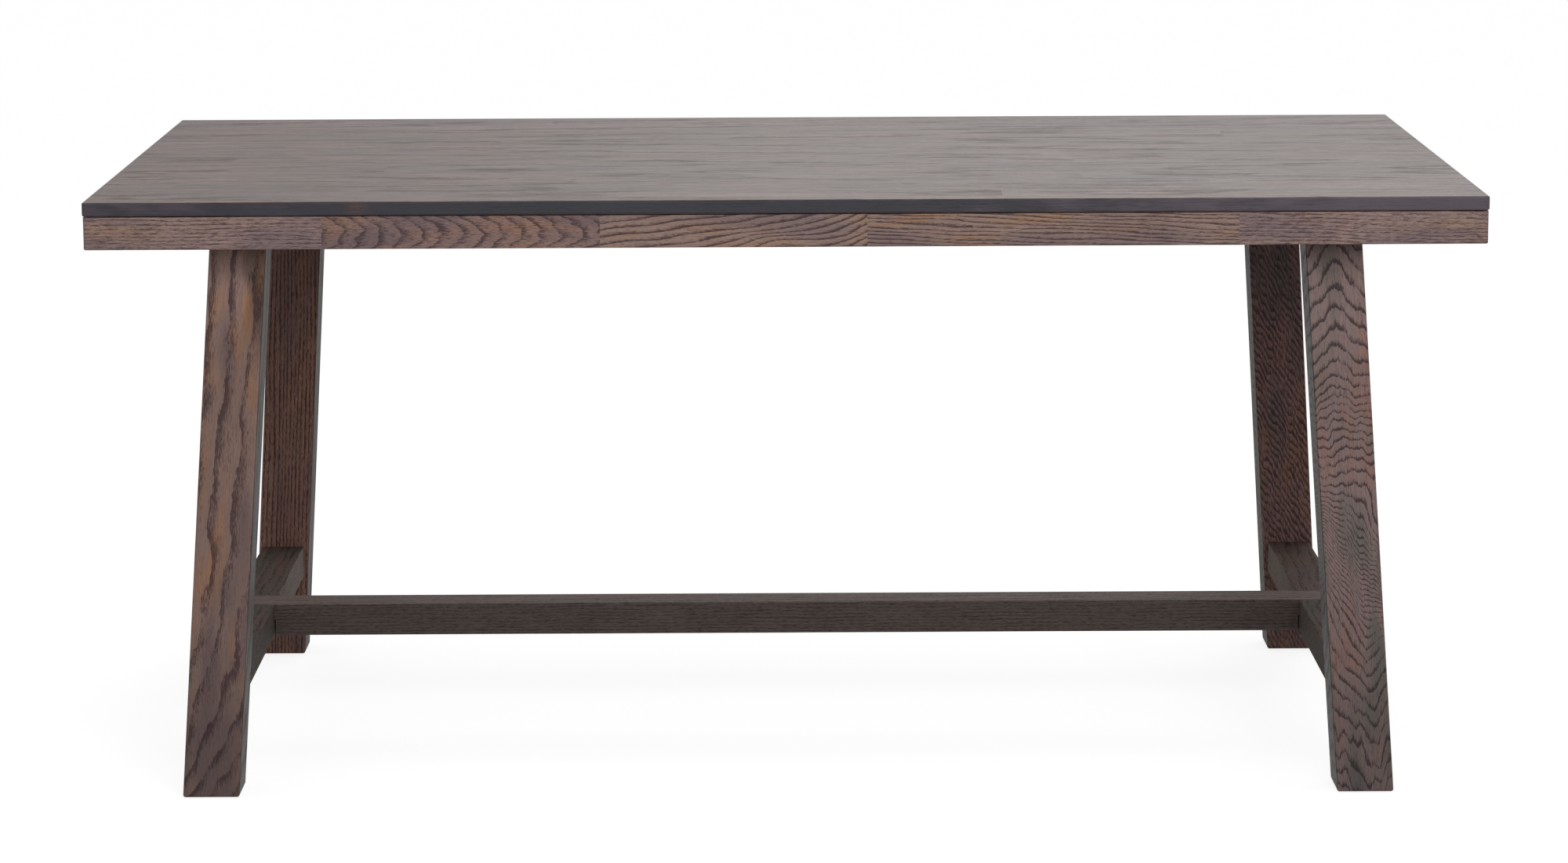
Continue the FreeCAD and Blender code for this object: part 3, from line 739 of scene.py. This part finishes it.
def dress_trestle():
    dress(oak("leg_streaks", LEG_WARM, leg_front_left, seed=6.0), "leg_front_left")
    dress(oak("leg_contours", LEG_CONTOUR, leg_front_right, seed=7.0), "leg_front_right")
    dress(oak("leg_upright", LEG_RED, leg_back_left, seed=8.0), "leg_back_left")
    dress(oak("leg_flecks", LEG_FLECK, leg_back_right, seed=9.0), "leg_back_right")
    for name, shade, grain_seed, seed in (("foot_rail_left", 1.0, 0.0, 30.0),
                                          ("foot_rail_right", 1.06, 3.1, 31.0)):
        grain = straight(spacing=0.0045, slope=0.01, seed=grain_seed, order="yzx", shade=shade)
        dress(oak(name, RAIL, grain, seed), name)
    along_stretcher = straight(spacing=0.0045, slope=0.004, wave=0.4, seed=8.0)
    dress(oak("stretcher_oak", STRETCHER, along_stretcher, seed=33.0), "stretcher")


def dress_hidden_wood():
    grain = straight(spacing=0.007, wave=0.8, seed=9.0, order="yzx")
    dress(oak("inner_wood", INNER, grain, seed=40.0), *named(*HIDDEN_WOOD))


MARK_LENGTH = 0.004
MARK_WIDTH = 0.0004
MARK_DEPTH = 0.00003
MARK_DARKER = 0.85
MARK_ROUGHER = 0.15
SCUFF_SIZE = 0.002
SCUFF_DEPTH = 0.00005
SCUFF_DETAIL = 3.0
SCUFF_LIGHTER = 1.6
SCUFF_ROUGHER = 0.2


def metal(name, colour, roughness):
    """Turned metal with fine tool marks."""
    nodes = new_material(name)
    x, y, z = nodes.place()
    marks = nodes.noise(x / MARK_LENGTH, y / MARK_LENGTH, z / MARK_WIDTH)
    body = nodes.mix(marks, scaled(colour, MARK_DARKER), colour)
    relief = nodes.bump(marks, MARK_DEPTH)
    return nodes.shade(body, roughness + marks * MARK_ROUGHER, relief, Metallic=1.0)


def plastic(name, colour, roughness):
    """Moulded plastic with a fine grain and scuffs."""
    nodes = new_material(name)
    x, y, z = nodes.place()
    scuff = nodes.noise(x / SCUFF_SIZE, y / SCUFF_SIZE, z / SCUFF_SIZE, SCUFF_DETAIL)
    body = nodes.mix(scuff, colour, scaled(colour, SCUFF_LIGHTER))
    relief = nodes.bump(scuff, SCUFF_DEPTH)
    return nodes.shade(body, roughness + scuff * SCUFF_ROUGHER, relief)


def dress_hardware():
    steel = metal("zinc_plated_steel", paint(186, 186, 182), roughness=0.30)
    dress(steel, "bearer_bolts", "bearer_washers", "lap_bolts", "lap_washers", "batten_screws",
          "button_screws", "corner_block_screws")
    brass = metal("turned_brass", paint(190, 160, 96), roughness=0.28)
    dress(brass, "bearer_inserts", "lap_inserts")
    dress(plastic("dark_plastic", paint(58, 52, 49), roughness=0.45), "foot_glides")


# Stage

FLOOR_REACH = 14.0
FLOOR_COLOUR = 0.35
FLOOR_GLOW = 0.82
WHITE = 1.0
AMBIENT = 0.50


def camera_share(nodes):
    """One for rays from the camera, mirrors or clear glass, zero for light that falls on things."""
    path = nodes.add("ShaderNodeLightPath").outputs
    seen = nodes.math("MAXIMUM", path["Is Camera Ray"], path["Is Glossy Ray"])
    return nodes.math("MAXIMUM", seen, path["Is Transmission Ray"])


def make_floor():
    mesh = bpy.data.meshes.new("floor")
    reach = FLOOR_REACH
    corners = [(-reach, -reach, 0), (reach, -reach, 0), (reach, reach, 0), (-reach, reach, 0)]
    mesh.from_pydata(corners, [], [(0, 1, 2, 3)])
    floor = bpy.data.objects.new("floor", mesh)
    bpy.context.scene.collection.objects.link(floor)
    nodes = new_material("pale_floor")
    diffuse = nodes.add("ShaderNodeBsdfDiffuse")
    diffuse.inputs["Color"].default_value = grey(FLOOR_COLOUR)
    glow = nodes.add("ShaderNodeEmission")
    glow.inputs["Color"].default_value = grey(WHITE)
    nodes.feed(glow.inputs["Strength"], camera_share(nodes) * FLOOR_GLOW)
    both = nodes.add("ShaderNodeAddShader")
    nodes.feed(both.inputs[0], diffuse.outputs[0])
    nodes.feed(both.inputs[1], glow.outputs[0])
    nodes.end("ShaderNodeOutputMaterial", both)
    mesh.materials.append(nodes.owner)


def make_world():
    world = bpy.data.worlds.new("studio")
    bpy.context.scene.world = world
    nodes = Nodes(world)
    sky = nodes.add("ShaderNodeBackground")
    sky.inputs["Color"].default_value = grey(WHITE)
    nodes.feed(sky.inputs["Strength"], AMBIENT + camera_share(nodes) * (WHITE - AMBIENT))
    nodes.end("ShaderNodeOutputWorld", sky)


def make_lamp(name, place, target, width, height, watts, spread):
    """A soft box of light; spread is the full angle in degrees that its light fans out to."""
    light = bpy.data.lights.new(name, "AREA")
    light.shape = "RECTANGLE"
    light.size, light.size_y = width, height
    light.energy = watts
    light.spread = math.radians(spread)
    lamp = bpy.data.objects.new(name, light)
    lamp.location = place
    towards = Vector(target) - Vector(place)
    lamp.rotation_euler = towards.to_track_quat("-Z", "Y").to_euler()
    lamp.visible_camera = False
    bpy.context.scene.collection.objects.link(lamp)


def make_camera():
    flat = math.cos(CAMERA_PITCH)
    ahead = Vector((math.sin(CAMERA_YAW) * flat, math.cos(CAMERA_YAW) * flat,
                    math.sin(CAMERA_PITCH)))
    level = Vector((math.cos(CAMERA_YAW), -math.sin(CAMERA_YAW), 0.0))
    upright = level.cross(ahead)
    right = level * math.cos(CAMERA_ROLL) + upright * math.sin(CAMERA_ROLL)
    up = upright * math.cos(CAMERA_ROLL) - level * math.sin(CAMERA_ROLL)
    lens = bpy.data.cameras.new("camera")
    lens.sensor_fit = "HORIZONTAL"
    lens.sensor_width = SENSOR_WIDTH
    lens.lens = FOCAL_PIXELS * SENSOR_WIDTH / IMAGE_WIDTH
    lens.clip_end = CAMERA_REACH
    camera = bpy.data.objects.new("camera", lens)
    turn = Matrix((right, up, -ahead)).transposed().to_4x4()
    camera.matrix_world = Matrix.Translation(CAMERA_PLACE) @ turn
    bpy.context.scene.collection.objects.link(camera)
    bpy.context.scene.camera = camera


def set_stage():
    bpy.context.scene.view_settings.view_transform = "Standard"
    make_camera()
    make_world()
    make_floor()
    make_lamp("key", place=(0.4, -3.5, 1.9), target=(0.1, 0.0, 0.45), width=2.4, height=1.8,
              watts=64.0, spread=180.0)
    make_lamp("sheen", place=(1.6, 3.8, 2.8), target=(0.40, 0.0, 0.75), width=4.4, height=1.2,
              watts=20.0, spread=130.0)


set_stage()
dress_top()
dress_aprons()
dress_trestle()
dress_hidden_wood()
dress_hardware()
